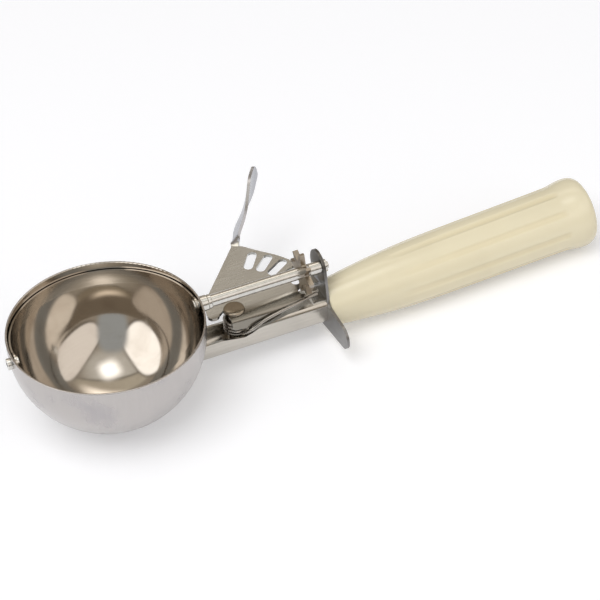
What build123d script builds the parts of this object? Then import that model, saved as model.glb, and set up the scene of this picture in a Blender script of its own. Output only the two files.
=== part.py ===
"""Thumb-lever ice cream disher: bowl, sweep blade, geared thumb lever and moulded grip.

Frame: millimetres, origin at the centre of the bowl's mouth, +X along the blade shaft towards
the grip, +Y towards the thumb piece, +Z out of the mouth. The functions below draw every piece
from the ball's centre on the shaft's axis, and build() lowers them by the rim's height.
"""
import math
import os

from build123d import *

# Bowl
BOWL_RADIUS = 34.3
BOWL_WALL = 0.8
RIM_HEIGHT = 3.8
RIM_ROUND = 0.3

# Sweep blade and its two pivots
BLADE_GAP = 0.3
BLADE_THICKNESS = 0.6
BLADE_WIDTH = 5.8
BLADE_BOSS_RADIUS = 3.4
BLADE_REST_DEG = 3.7
TIP_PIN_RADIUS = 1.5
TIP_HEAD_RADIUS = 2.1
TIP_HEAD_LENGTH = 1.3
TIP_HEAD_GAP = 0.16
TIP_BORE_RADIUS = 0.8
TIP_BORE_DEPTH = 1.0

# Blade shaft
SHAFT_RADIUS = 2.2
SPIGOT_RADIUS = 1.5
SPIGOT_HEAD_RADIUS = 2.5
SPIGOT_HEAD_LENGTH = 0.8
SPIGOT_LEAD = 0.1
JOURNAL_PLAY = 0.2
END_PLAY = 0.15
COLLAR_CHAMFER = 0.25
BUSH_RADIUS = 2.85
BUSH_END_X = BOWL_RADIUS + 2.5
COLLAR_RADIUS = 2.65
COLLAR_X = BUSH_END_X + 0.1
COLLAR_LENGTH = 1.5
NECK_RADIUS = 1.8
NECK_X = 74.3
JOURNAL_RADIUS = 2.35
JOURNAL_X = 75.6
REAR_RADIUS = 1.75
RUN_GAP = 0.06
SEAT_GAP = 0.05
END_WASHER_RADIUS = 2.3
END_WASHER_LENGTH = 1.0
END_TIP_RADIUS = 1.2
END_TIP_LENGTH = 0.8

# Star pinion
PINION_X = 72.3
PINION_WIDTH = 1.8
PINION_TEETH = 8
PINION_TIP_RADIUS = 8.1
PINION_ROOT_RADIUS = 4.7
TOOTH_TIP_HALF = 0.5
TOOTH_ROOT_HALF = 1.69
TOOTH_ROOT_DEPTH = 1.0

# Lever pivot
PIVOT_X = 46.8
POST_RADIUS = 2.0
PIVOT_HEAD_RADIUS = 3.85
PIVOT_HEAD_THICKNESS = 1.0
PIVOT_HEAD_ROUND = 0.35
FOOT_RADIUS = 3.2
FOOT_DROP = 1.1
SLEEVE_RADIUS = 2.8
WASHER_RADIUS = 2.9
WASHER_THICKNESS = 0.5
WASHER_PLAY = 0.2

# Lever plate, from the pivot
PLATE_TOP_Z = -7.3
PLATE_THICKNESS = 1.1
GEAR_RATIO = 4
SLOT_COUNT = 6
SLOT_PHASE = -1.2
SLOT_INNER_RADIUS = 22.2
SHORT_SLOT_COUNT = 3
SHORT_SLOT_INNER_RADIUS = 24.3
SLOT_OUTER_RADIUS = 32.0
SLOT_WIDTH = 3.4
SECTOR_RADIUS = 32.9
NECK_LEFT = (13.9, 34.3)
NECK_RIGHT = (15.0, 31.8)
SHOULDER = (18.0, 28.9)
BOWL_SIDE = (-6.1, 10.3)
BOWL_SIDE_BEND = (-8.7, 5.6)
LOBE_LEFT = (-9.7, 0.9)
LOBE_BOTTOM = (-8.2, -1.4)
LOBE_RIGHT = (-5.6, -0.2)
EYE_RADIUS = 3.9
EYE_START = 160.0
EYE_END = 340.0
ARC_MIDDLE = 22.0
ARC_END = 44.0
ARC_LEAVE_WAY = (-0.7, 0.72)
NECK_ARRIVE_WAY = (-0.8, 0.45)

# Hood pressed down from the plate's front edge: distance from the pivot, sideways place of
# the fold and of the lower edge, height of the lower edge, and how square the bend is
HOOD_START = (-3.0, -2.3, -5.75, -11.5, 0.93)
HOOD_NEAR = (3.6, -0.7, -5.75, -12.3, 0.93)
HOOD_MIDDLE = (12.0, -0.2, -5.1, -10.2, 0.6)
HOOD_FAR = (31.2, 0.7, -2.5, -8.8, 0.55)
HOOD_CORNER = 1.6

# Thumb arm: centre line from the pivot, then widths and twists along it
ARM_PATH = [
    (13.6, 32.3, -7.85), (18.6, 40.4, -6.6), (24.0, 47.8, -4.8), (29.2, 54.7, -2.6), (34.8, 62.0, 0.5)]
ARM_NECK_WIDTH = 2.4
ARM_WIDTH = 8.3
ARM_TIP_WIDTH = 5.0
ARM_NECK_TWIST = 56.0
ARM_END_TWIST = 101.0
ARM_NECK_END = 0.16
ARM_TWIST_START = 0.2
ARM_FULL_WIDTH_AT = 0.45
ARM_TAPER_START = 0.72
ARM_TIP_ROUND = 1.75
ARM_STATIONS = 13

# Return spring
WIRE_RADIUS = 0.6
COIL_RADIUS = 3.65
COIL_TOP_Z = -10.7
COIL_PITCH = 1.45
COIL_START = 60.0
COIL_TURNS = 3.55
LEG_END_WAY = (1.0, 0.09, 0.05)
LEAD_IN_WAY = (-0.4, 0.9, 0.35)
ANCHOR = (6.0, 0.6)
ANCHOR_HOLE_RADIUS = 0.7
LEG_PATH = [
    (3.6, -6.5, -12.9), (8.8, -6.2, -10.7), (15.0, -5.75, -9.5), (22.0, -5.0, -8.85), (30.0, -3.75, -8.4)]

# Shank channel
SHANK_AXIS_Z = -18.0
SHANK_RADIUS = 6.0
SHANK_WALL = 0.9
SHANK_TOP_ROUND = 3.0
FRONT_EDGE = [(40.0, -14.5), (48.0, -16.0), (53.5, -14.1), (65.0, -12.7)]
BACK_EDGE = [(46.8, -16.4), (51.0, -16.3)]
CLOSE_X = 76.5
CLOSE_START = (75.0, -12.6)
EDGE_ROUND = 3.0
BRAZE_SIZE = 0.7
BRAZE_REACH = 4.0

# Guard plate
GUARD_X = 80.1
GUARD_THICKNESS = 1.0
GUARD_CORNER = 2.0

# Circles the guard's outline runs round: sideways place, height and radius
EAR = (2.6, -1.5, 6.1)
STEM = (0.3, -14.6, 5.9)
HUB = (0.0, -20.0, 6.1)
FRONT_WING = (-17.4, -19.1, 4.6)
BACK_WING = (15.2, -19.2, 4.4)

# Grip and tang
GRIP_TILT = 3.4
GRIP_LENGTH = 106.0
GRIP_BELLY_RADIUS = 11.9
GRIP_BELLY = 49.0
GRIP_WAIST_RADIUS = 12.3
GRIP_WAIST = 93.0
GRIP_FLARE_RADIUS = 13.2
GRIP_FLARE = 100.4
GRIP_END_RADIUS = 10.2
GRIP_LEAD = 2.0
GRIP_LEAD_RADIUS = 8.1
GRIP_SWELL_RADIUS = 11.0
GRIP_FRONT_WAY = (0.13, 1)
GRIP_LEVEL_WAY = (0.01, 1)
GRIP_END_WAY = (-1, 0.35)
WASHER_POCKET_DEPTH = 1.9
WASHER_POCKET_DROP = 3.5
FLUTE_COUNT = 11
FLUTE_RADIUS = 3.4
FLUTE_FRONT_RADIUS = 10.8
FLUTE_DEPTH_FRONT = 0.2
FLUTE_DEPTH_BACK = 0.45
FLUTE_FRONT = 24.0
FLUTE_BACK = 91.0
TANG_RADIUS = 4.2
TANG_REAR_RADIUS = 3.4
TANG_STEP = 4.0
TANG_PLUG_X = 73.5
TANG_LENGTH = 62.0
TANG_PIN_RADIUS = 1.5
TANG_PIN_AT = 40.0
TANG_PIN_REACH = 2.0

INNER_RADIUS = BOWL_RADIUS - BOWL_WALL
BLADE_OUTER = INNER_RADIUS - BLADE_GAP
BLADE_INNER = BLADE_OUTER - BLADE_THICKNESS
PLATE_BOTTOM_Z = PLATE_TOP_Z - PLATE_THICKNESS
GUARD_BACK_X = GUARD_X + GUARD_THICKNESS
FLOOR_Z = SHANK_AXIS_Z - SHANK_RADIUS + SHANK_WALL
SLEEVE_TOP_Z = PLATE_BOTTOM_Z - WASHER_PLAY - WASHER_THICKNESS
SLOT_PITCH = 360 / (PINION_TEETH * GEAR_RATIO)
CUT = 200.0


def x_rod(radius, start, end, y=0.0, z=0.0):
    """Solid round bar along X from start to end."""
    return Pos((start + end) / 2, y, z) * Rot(0, 90, 0) * Cylinder(radius, end - start)


def z_rod(radius, bottom, top, x=0.0, y=0.0):
    """Solid round bar along Z from bottom to top."""
    return Pos(x, y, (bottom + top) / 2) * Cylinder(radius, top - bottom)


def span(x0, x1, y0, y1, z0, z1):
    """Box between the given limits."""
    return Pos((x0 + x1) / 2, (y0 + y1) / 2, (z0 + z1) / 2) * Box(x1 - x0, y1 - y0, z1 - z0)


def half_round_cup(radius, top):
    """Hemisphere continued by a straight collar up to the given height."""
    below = Sphere(radius) & span(-CUT, CUT, -CUT, CUT, -CUT, 0)
    return below + z_rod(radius, 0, top)


def bowl():
    """Pressed bowl with the holes for the shaft bush and the tip pin."""
    shell = half_round_cup(BOWL_RADIUS, RIM_HEIGHT) - half_round_cup(INNER_RADIUS, RIM_HEIGHT + 1)
    rim = shell.edges().filter_by(GeomType.CIRCLE).group_by(Axis.Z)[-1]
    shell = fillet(rim, RIM_ROUND)
    shell -= x_rod(BUSH_RADIUS, 0, BOWL_RADIUS + 1)
    shell -= x_rod(TIP_PIN_RADIUS, -BOWL_RADIUS - 1, 0)
    return shell


def shaft_bush():
    """Bearing bush in the bowl's wall for the blade shaft."""
    return x_rod(BUSH_RADIUS, INNER_RADIUS, BUSH_END_X) - x_rod(SHAFT_RADIUS + RUN_GAP, 0, CUT)


def tip_pin():
    """Headed pin in the bowl's wall opposite the shaft, drilled at its outer end."""
    inner_end = -BLADE_INNER + TIP_HEAD_GAP
    outer_end = -BOWL_RADIUS - TIP_HEAD_LENGTH
    pin = x_rod(TIP_PIN_RADIUS, outer_end, inner_end)
    head = x_rod(TIP_HEAD_RADIUS, outer_end, -BOWL_RADIUS + BOWL_WALL)
    pin += head - half_round_cup(BOWL_RADIUS, RIM_HEIGHT)
    pin += x_rod(TIP_HEAD_RADIUS, inner_end, inner_end + SPIGOT_HEAD_LENGTH)
    return pin - x_rod(TIP_BORE_RADIUS, outer_end - 1, outer_end + TIP_BORE_DEPTH)


def sweep_blade():
    """Curved strap that sweeps the bowl's inside, with a round boss at each pivot."""
    shell = Sphere(BLADE_OUTER) - Sphere(BLADE_INNER)
    strap = shell & span(-CUT, CUT, 0, CUT, -BLADE_WIDTH / 2, BLADE_WIDTH / 2)
    bosses = shell & x_rod(BLADE_BOSS_RADIUS, -CUT, CUT)
    blade = strap + bosses
    blade -= x_rod(TIP_PIN_RADIUS + RUN_GAP, -CUT, 0)
    blade -= x_rod(SPIGOT_RADIUS, 0, CUT)
    return Rot(-BLADE_REST_DEG, 0, 0) * blade


def blade_shaft():
    """Stepped shaft from the blade through the bowl to the guard plate."""
    shaft = x_rod(SPIGOT_RADIUS, BLADE_INNER, BLADE_OUTER)
    shaft += x_rod(SPIGOT_HEAD_RADIUS, BLADE_INNER - SPIGOT_HEAD_LENGTH, BLADE_INNER - TIP_HEAD_GAP)
    shaft += x_rod(SPIGOT_RADIUS, BLADE_INNER - SPIGOT_HEAD_LENGTH, BLADE_OUTER + SPIGOT_LEAD)
    shaft += x_rod(SHAFT_RADIUS, BLADE_OUTER, NECK_X)
    shaft += x_rod(NECK_RADIUS, NECK_X, JOURNAL_X)
    shaft += x_rod(JOURNAL_RADIUS, JOURNAL_X, GUARD_X - JOURNAL_PLAY)
    washer_x = GUARD_BACK_X + END_PLAY
    shaft += x_rod(REAR_RADIUS, JOURNAL_X, washer_x + END_WASHER_LENGTH)
    tip_end = washer_x + END_WASHER_LENGTH + END_TIP_LENGTH
    shaft += x_rod(END_TIP_RADIUS, washer_x, tip_end)
    return shaft


def shaft_collar():
    """Thrust collar pressed on the shaft beside the bowl."""
    ring = x_rod(COLLAR_RADIUS, COLLAR_X, COLLAR_X + COLLAR_LENGTH) - x_rod(SHAFT_RADIUS, 0, CUT)
    return chamfer(ring.edges().filter_by(GeomType.CIRCLE).sort_by(SortBy.RADIUS)[-2:], COLLAR_CHAMFER)


def shaft_end_washer():
    """Washer peened on the shaft's end behind the guard plate."""
    start = GUARD_BACK_X + END_PLAY
    ring = x_rod(END_WASHER_RADIUS, start, start + END_WASHER_LENGTH)
    return ring - x_rod(REAR_RADIUS, 0, CUT)


def star_pinion():
    """Eight-pointed star wheel whose teeth drop into the lever's slots."""
    root = PINION_ROOT_RADIUS - TOOTH_ROOT_DEPTH
    tooth = Polygon(
        (root, -TOOTH_ROOT_HALF), (PINION_TIP_RADIUS, -TOOTH_TIP_HALF),
        (PINION_TIP_RADIUS, TOOTH_TIP_HALF), (root, TOOTH_ROOT_HALF), align=None)
    star = Circle(PINION_ROOT_RADIUS)
    for step in range(PINION_TEETH):
        star += Rot(0, 0, step * 360 / PINION_TEETH) * tooth
    star -= Circle(SHAFT_RADIUS)
    return Pos(PINION_X, 0, 0) * Rot(0, 90, 0) * extrude(star, PINION_WIDTH)


def shank_outline(inset):
    """Round-bottomed section of the shank with rounded shoulders, in the YZ plane."""
    half = SHANK_RADIUS - inset
    square = Pos(0, half / 2) * Rectangle(2 * half, half)
    square = fillet(square.vertices().group_by(Axis.Y)[-1], SHANK_TOP_ROUND - inset)
    return Circle(half) + square


def along_x(sketch, start, end, z):
    """Extrude a section drawn in the YZ plane from start to end."""
    return Pos(start, 0, z) * extrude(Plane.YZ * sketch, end - start)


def wall_cutter(y0, y1, edge_points):
    """Material removed above one wall of the channel, following its sloping top edge."""
    top = SHANK_AXIS_Z + SHANK_RADIUS + 1
    edge = Polygon(
        (0, top), (0, edge_points[0][1]), *edge_points, CLOSE_START, (CLOSE_X, top), align=None)
    edge = fillet(edge.vertices().sort_by(Axis.Y)[:1], EDGE_ROUND)
    return Pos(0, (y0 + y1) / 2, 0) * Rot(90, 0, 0) * extrude(edge, (y1 - y0) / 2, both=True)


def shank():
    """Channel from the bowl that closes to a tube at the guard plate."""
    body = along_x(shank_outline(0), 0, GUARD_X, SHANK_AXIS_Z)
    body -= along_x(shank_outline(SHANK_WALL), -1, GUARD_X + 1, SHANK_AXIS_Z)
    body -= wall_cutter(-CUT, 0, FRONT_EDGE)
    body -= wall_cutter(0, CUT, BACK_EDGE)
    body -= Sphere(BOWL_RADIUS)
    body -= span(-CUT, BOWL_RADIUS / 2, -CUT, CUT, -CUT, 0)
    body -= z_rod(POST_RADIUS, -CUT, 0, PIVOT_X)
    body -= z_rod(ANCHOR_HOLE_RADIUS, -CUT, SHANK_AXIS_Z, PIVOT_X + ANCHOR[0], ANCHOR[1])
    return body


def braze_fillet():
    """Bead of braze around the shank where it meets the bowl."""
    bead = along_x(shank_outline(-BRAZE_SIZE), BOWL_RADIUS / 2, BOWL_RADIUS + BRAZE_REACH, SHANK_AXIS_Z)
    bead -= along_x(shank_outline(0), -1, CUT, SHANK_AXIS_Z)
    bead &= Sphere(BOWL_RADIUS + BRAZE_SIZE) - Sphere(BOWL_RADIUS)
    return bead - span(-CUT, CUT, -CUT, CUT, FRONT_EDGE[0][1], CUT)


def ring_hull(*rings):
    """Outline drawn tight round circles given by place, height and radius."""
    circles = [Pos(across, height) * Circle(radius) for across, height, radius in rings]
    return make_hull([edge for circle in circles for edge in circle.edges()])


def guard_plate():
    """Flat guard with the shaft's bearing ear above and a wing to each side."""
    blank = ring_hull(HUB, FRONT_WING, BACK_WING) + ring_hull(EAR, STEM)
    blank -= Pos(0, SHANK_AXIS_Z) * Circle(TANG_RADIUS)
    blank -= Circle(REAR_RADIUS + RUN_GAP)
    plate = along_x(blank, GUARD_X, GUARD_BACK_X, 0)
    corners = plate.edges().filter_by(Axis.X)
    low, high = STEM[1] - GUARD_CORNER, STEM[1] + 1.5 * GUARD_CORNER
    inner = [e for e in corners if low < e.center().Z < high and abs(e.center().Y) > TANG_RADIUS]
    return fillet(inner, GUARD_CORNER)


def grip_place():
    """Frame at the guard plate's back with its Z axis along the tilted grip."""
    return Pos(GUARD_BACK_X, 0, SHANK_AXIS_Z) * Rot(0, 90 - GRIP_TILT, 0)


def tang():
    """Tang from the shank's tube through the guard plate, stepped down inside the grip."""
    plug = x_rod(SHANK_RADIUS - SHANK_WALL, TANG_PLUG_X, GUARD_X, 0, SHANK_AXIS_Z)
    bar = x_rod(TANG_RADIUS, TANG_PLUG_X, GUARD_BACK_X + TANG_STEP, 0, SHANK_AXIS_Z)
    rear = grip_place() * z_rod(TANG_REAR_RADIUS, -TANG_STEP, TANG_LENGTH)
    return plug + bar + rear - tang_pin()


def tang_pin():
    """Cross pin moulded in with the tang."""
    reach = TANG_REAR_RADIUS + TANG_PIN_REACH
    return grip_place() * Pos(0, 0, TANG_PIN_AT) * Rot(90, 0, 0) * Cylinder(TANG_PIN_RADIUS, 2 * reach)


def grip_blank():
    """Turned shape of the grip, slightly longer at the front than needed."""
    side = Spline(
        (GRIP_LEAD_RADIUS, -GRIP_LEAD), (GRIP_SWELL_RADIUS, GRIP_BELLY / 2),
        (GRIP_BELLY_RADIUS, GRIP_BELLY), (GRIP_WAIST_RADIUS, GRIP_WAIST),
        tangents=[GRIP_FRONT_WAY, GRIP_LEVEL_WAY])
    flare = Spline(
        (GRIP_WAIST_RADIUS, GRIP_WAIST), (GRIP_FLARE_RADIUS, GRIP_FLARE),
        (GRIP_END_RADIUS, GRIP_LENGTH), tangents=[GRIP_LEVEL_WAY, GRIP_END_WAY])
    back = Line((GRIP_END_RADIUS, GRIP_LENGTH), (0, GRIP_LENGTH))
    axis_line = Line((0, GRIP_LENGTH), (0, -GRIP_LEAD))
    front = Line((0, -GRIP_LEAD), (GRIP_LEAD_RADIUS, -GRIP_LEAD))
    face = Rot(90, 0, 0) * make_face([side, flare, back, axis_line, front])
    return revolve(face, Axis.Z)


def flute():
    """One groove cutter lying along the grip."""
    front_r = FLUTE_FRONT_RADIUS + FLUTE_RADIUS - FLUTE_DEPTH_FRONT
    back_r = GRIP_WAIST_RADIUS + FLUTE_RADIUS - FLUTE_DEPTH_BACK
    run = FLUTE_BACK - FLUTE_FRONT
    lean = math.degrees(math.atan2(back_r - front_r, run))
    length = run / math.cos(math.radians(lean))
    bar = Pos(0, 0, length / 2) * Cylinder(FLUTE_RADIUS, length)
    bar += Sphere(FLUTE_RADIUS)
    bar += Pos(0, 0, length) * Sphere(FLUTE_RADIUS)
    return Pos(front_r, 0, FLUTE_FRONT) * Rot(0, lean, 0) * bar


def grip():
    """Moulded grip with a ring of shallow flutes and a flared end."""
    body = grip_blank()
    for step in range(FLUTE_COUNT):
        body -= Rot(0, 0, (step + 0.5) * 360 / FLUTE_COUNT) * flute()
    body = grip_place() * body
    body -= span(0, GUARD_BACK_X, -CUT, CUT, -CUT, CUT)
    pocket_end = GUARD_BACK_X + WASHER_POCKET_DEPTH
    body -= span(0, pocket_end, -CUT, CUT, -WASHER_POCKET_DROP, CUT)
    return body - tang() - tang_pin()


def pivot_rivet():
    """Headed post on which the lever turns, upset under the shank."""
    head = z_rod(PIVOT_HEAD_RADIUS, 0, PIVOT_HEAD_THICKNESS)
    head = fillet(head.edges().group_by(Axis.Z)[-1], PIVOT_HEAD_ROUND)
    post = z_rod(POST_RADIUS, FLOOR_Z - SHANK_WALL - FOOT_DROP / 2, PLATE_TOP_Z + 2 * SEAT_GAP)
    foot = z_rod(FOOT_RADIUS, FLOOR_Z - SHANK_WALL - FOOT_DROP, FLOOR_Z)
    foot = Pos(PIVOT_X, 0, 0) * foot
    foot -= along_x(shank_outline(0), 0, CUT, SHANK_AXIS_Z)
    return Pos(PIVOT_X, 0, PLATE_TOP_Z + SEAT_GAP) * head + Pos(PIVOT_X, 0, 0) * post + foot


def pivot_sleeve():
    """Spacer sleeve on the post that carries the lever above the channel's floor."""
    ring = z_rod(SLEEVE_RADIUS, FLOOR_Z - 1, SLEEVE_TOP_Z, PIVOT_X)
    ring -= z_rod(POST_RADIUS, -CUT, CUT, PIVOT_X)
    seat = along_x(shank_outline(SHANK_WALL), 0, CUT, SHANK_AXIS_Z)
    return ring & seat + span(0, CUT, -CUT, CUT, SHANK_AXIS_Z, 0)


def pivot_washer():
    """Washer between the sleeve and the lever."""
    ring = z_rod(WASHER_RADIUS, SLEEVE_TOP_Z, SLEEVE_TOP_Z + WASHER_THICKNESS, PIVOT_X)
    return ring - z_rod(POST_RADIUS, -CUT, CUT, PIVOT_X)


def around_pivot(radius, angle):
    """Plan point at the given radius and angle from the pivot."""
    return (radius * math.cos(math.radians(angle)), radius * math.sin(math.radians(angle)))


def sector_outline():
    """Plan of the flat lever plate seen from above, from the pivot."""
    front_near = HOOD_NEAR[:2]
    front_far = HOOD_FAR[:2]
    corner = (math.sqrt(SECTOR_RADIUS ** 2 - front_far[1] ** 2), front_far[1])
    eye_start = around_pivot(EYE_RADIUS, EYE_START)
    eye_end = around_pivot(EYE_RADIUS, EYE_END)
    arc_end = around_pivot(SECTOR_RADIUS, ARC_END)
    return make_face([
        Line(NECK_LEFT, BOWL_SIDE),
        ThreePointArc(BOWL_SIDE, BOWL_SIDE_BEND, LOBE_LEFT),
        ThreePointArc(LOBE_LEFT, LOBE_BOTTOM, LOBE_RIGHT),
        Line(LOBE_RIGHT, eye_start),
        ThreePointArc(eye_start, around_pivot(EYE_RADIUS, (EYE_START + EYE_END) / 2), eye_end),
        Line(eye_end, front_near),
        Line(front_near, front_far),
        Line(front_far, corner),
        ThreePointArc(corner, around_pivot(SECTOR_RADIUS, ARC_MIDDLE), arc_end),
        Spline(arc_end, SHOULDER, NECK_RIGHT, tangents=[ARC_LEAVE_WAY, NECK_ARRIVE_WAY]),
        Line(NECK_RIGHT, NECK_LEFT)])


def hood_edge(fold, low, square):
    """Rounded run from the fold to the lower edge, level at the top and upright at the end."""
    lead = (fold[0] + square * (low[0] - fold[0]), fold[1])
    trail = (low[0], low[1] + square * (fold[1] - low[1]))
    return Bezier(fold, lead, trail, low)


def hood_section(place):
    """Curved strip from the plate's fold down to the hood's lower edge."""
    x, fold_y, low_y, low_z, square = place
    outer = hood_edge((fold_y, PLATE_TOP_Z), (low_y, low_z), square)
    inner = hood_edge((fold_y, PLATE_BOTTOM_Z), (low_y + PLATE_THICKNESS, low_z), square)
    low = Line((low_y, low_z), (low_y + PLATE_THICKNESS, low_z))
    joint = Line((fold_y, PLATE_BOTTOM_Z), (fold_y, PLATE_TOP_Z))
    return Pos(x, 0, 0) * (Plane.YZ * make_face([outer, low, inner, joint]))


def hood():
    """Pressed hood along the plate's front edge, wrapped round before the spring's coil."""
    wrap = loft([hood_section(HOOD_START), hood_section(HOOD_NEAR)])
    low_corner = wrap.edges().filter_by(Axis.Y).sort_by(Axis.Z)[:2].sort_by(Axis.X)[:1]
    wrap = fillet(low_corner, HOOD_CORNER)
    return wrap + loft([hood_section(place) for place in (HOOD_NEAR, HOOD_MIDDLE, HOOD_FAR)])


def radial_slot(angle, inner_radius):
    """One slot cutter of the lever's rack, pointing away from the pivot."""
    length = SLOT_OUTER_RADIUS - inner_radius
    middle = (SLOT_OUTER_RADIUS + inner_radius) / 2
    cutter = extrude(SlotOverall(length, SLOT_WIDTH), 3 * PLATE_THICKNESS)
    return Rot(0, 0, angle) * Pos(middle, 0, PLATE_BOTTOM_Z - PLATE_THICKNESS) * cutter


def smooth(share):
    """Ease from 0 to 1."""
    share = min(1, max(0, share))
    return share * share * (3 - 2 * share)


def arm_station(path, share):
    """Cross-section of the thumb arm at one station along its length."""
    twist = ARM_NECK_TWIST * smooth(share / ARM_NECK_END)
    further = smooth((share - ARM_TWIST_START) / (1 - ARM_TWIST_START))
    twist += (ARM_END_TWIST - ARM_NECK_TWIST) * further
    width = ARM_NECK_WIDTH + (ARM_WIDTH - ARM_NECK_WIDTH) * smooth(share / ARM_FULL_WIDTH_AT)
    taper = smooth((share - ARM_TAPER_START) / (1 - ARM_TAPER_START))
    width -= (ARM_WIDTH - ARM_TIP_WIDTH) * taper
    way = path % share
    heading = math.degrees(math.atan2(way.Y, way.X))
    place = Pos(path @ share) * Rot(0, 0, heading) * Rot(-twist, 0, 0)
    return place * (Plane.YZ * Rectangle(width, PLATE_THICKNESS))


def thumb_arm():
    """Strip that twists upright beyond the neck and ends in the thumb piece."""
    path = Spline(*ARM_PATH)
    arm = loft([arm_station(path, step / (ARM_STATIONS - 1)) for step in range(ARM_STATIONS)])
    way = path % 1
    tip = arm.faces().sort_by(Axis((0, 0, 0), (way.X, way.Y, way.Z)))[-1]
    return fillet(tip.edges().sort_by(SortBy.LENGTH)[:2], ARM_TIP_ROUND)


def thumb_lever():
    """Thumb lever: slotted sector, pressed hood and twisted thumb arm in one pressing."""
    body = Pos(0, 0, PLATE_BOTTOM_Z) * extrude(sector_outline(), PLATE_THICKNESS)
    body += hood()
    body += thumb_arm()
    body -= z_rod(POST_RADIUS + RUN_GAP, -CUT, CUT)
    for step in range(SLOT_COUNT):
        inner_radius = SHORT_SLOT_INNER_RADIUS if step < SHORT_SLOT_COUNT else SLOT_INNER_RADIUS
        body -= radial_slot(step * SLOT_PITCH + SLOT_PHASE, inner_radius)
    return Pos(PIVOT_X, 0, 0) * body


def return_spring():
    """Torsion spring round the post: anchored leg, coil and the leg beside the hood."""
    drop = COIL_PITCH * COIL_TURNS
    helix = Helix(COIL_PITCH, drop, COIL_RADIUS, lefthand=True)
    helix = Pos(0, 0, COIL_TOP_Z) * Rot(0, 0, COIL_START) * Rot(180, 0, 0) * helix
    lead = (ANCHOR[0], ANCHOR[1], COIL_TOP_Z)
    anchor = Polyline((ANCHOR[0], ANCHOR[1], FLOOR_Z - SHANK_WALL), lead)
    join_in = Spline(anchor @ 1, helix @ 0, tangents=[LEAD_IN_WAY, helix % 0])
    leg = Spline(helix @ 1, *LEG_PATH, tangents=[helix % 1, LEG_END_WAY])
    pieces = []
    for run in (helix, leg, join_in, anchor):
        pieces.append(sweep(Plane(origin=run @ 0, z_dir=run % 0) * Circle(WIRE_RADIUS), path=run))
    body = pieces[0]
    for piece in pieces[1:]:
        body += piece
    body += Pos(leg @ 1) * Sphere(WIRE_RADIUS)
    body += Pos(anchor @ 1) * Sphere(WIRE_RADIUS)
    return Pos(PIVOT_X, 0, 0) * body


def build():
    """Write every sub-part to its own file."""
    os.makedirs("parts", exist_ok=True)
    parts = {
        "bowl": bowl(),
        "shaft_bush": shaft_bush(),
        "tip_pin": tip_pin(),
        "shank": shank(),
        "braze_fillet": braze_fillet(),
        "guard_plate": guard_plate(),
        "tang": tang(),
        "tang_pin": tang_pin(),
        "grip": grip(),
        "pivot_rivet": pivot_rivet(),
        "pivot_sleeve": pivot_sleeve(),
        "pivot_washer": pivot_washer(),
        "thumb_lever": thumb_lever(),
        "sweep_blade": sweep_blade(),
        "blade_shaft": blade_shaft(),
        "shaft_collar": shaft_collar(),
        "shaft_end_washer": shaft_end_washer(),
        "star_pinion": star_pinion(),
        "return_spring": return_spring(),
    }
    for name, shape in parts.items():
        export_step(Pos(0, 0, -RIM_HEIGHT) * shape, f"parts/{name}.step")


build()
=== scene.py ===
"""Finishes, grip, spring, studio and camera for the thumb-lever ice cream disher."""

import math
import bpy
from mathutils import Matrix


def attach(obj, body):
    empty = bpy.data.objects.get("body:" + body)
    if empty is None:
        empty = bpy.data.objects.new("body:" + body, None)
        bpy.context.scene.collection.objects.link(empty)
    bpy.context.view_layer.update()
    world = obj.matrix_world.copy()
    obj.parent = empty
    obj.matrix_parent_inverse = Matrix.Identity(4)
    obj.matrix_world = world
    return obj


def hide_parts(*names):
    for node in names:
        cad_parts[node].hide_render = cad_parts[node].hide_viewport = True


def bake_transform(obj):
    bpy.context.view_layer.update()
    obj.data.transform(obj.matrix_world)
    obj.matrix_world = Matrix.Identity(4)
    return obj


bl_info = {
    "name": "Thumb-lever disher",
    "version": (1, 0),
    "blender": (4, 5, 0),
    "location": "3D View > Sidebar > Disher",
    "description": "Dresses the disher's frame in its finishes and adds its grip and spring",
    "category": "Object",
}

import bpy
from bpy.props import FloatProperty, FloatVectorProperty, IntProperty, PointerProperty
from bpy.types import Operator, Panel, PropertyGroup
from bpy.utils import register_class, unregister_class
from mathutils import Matrix, Vector

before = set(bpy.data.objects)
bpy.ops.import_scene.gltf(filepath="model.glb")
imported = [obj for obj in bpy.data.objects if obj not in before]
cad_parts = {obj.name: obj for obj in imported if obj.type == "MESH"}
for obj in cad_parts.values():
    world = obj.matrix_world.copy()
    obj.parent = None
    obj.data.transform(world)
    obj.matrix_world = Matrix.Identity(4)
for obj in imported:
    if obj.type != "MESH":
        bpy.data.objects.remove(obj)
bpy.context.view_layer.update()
MM = 0.001

# Places taken over from the frame, in metres
BALL_CENTRE = Vector((0.0, 0.0, -0.0038))
BALL_WALL_MIDDLE = 0.0339
PIVOT = Vector((0.0468, 0.0, 0.0))
THUMB_START = 0.0335
# Where painted shade darkens a finish: axis, start and end of the change
HOOD_SHADE_SPAN = ("Y", 1.5 * MM, -2.5 * MM)
EAR_SHADE_SPAN = ("Z", -9.0 * MM, -4.0 * MM)
# Rivet from its crown to its peened foot: radius and height in millimetres
RIVET_OUTLINE = [(0.02, -9.99), (1.6, -10.0), (2.85, -10.05), (3.25, -10.13), (3.55, -10.29), (3.75, -10.52),
                 (3.84, -10.8), (3.82, -10.98), (3.72, -11.04), (2.0, -11.05), (2.0, -27.0), (2.28, -27.05),
                 (2.3, -27.84), (2.2, -27.96), (1.3, -28.07), (0.02, -28.1)]
GRIP_FRONT = Vector((0.0811, 0.0, -0.0218))
GRIP_TILT = math.radians(3.4)
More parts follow.
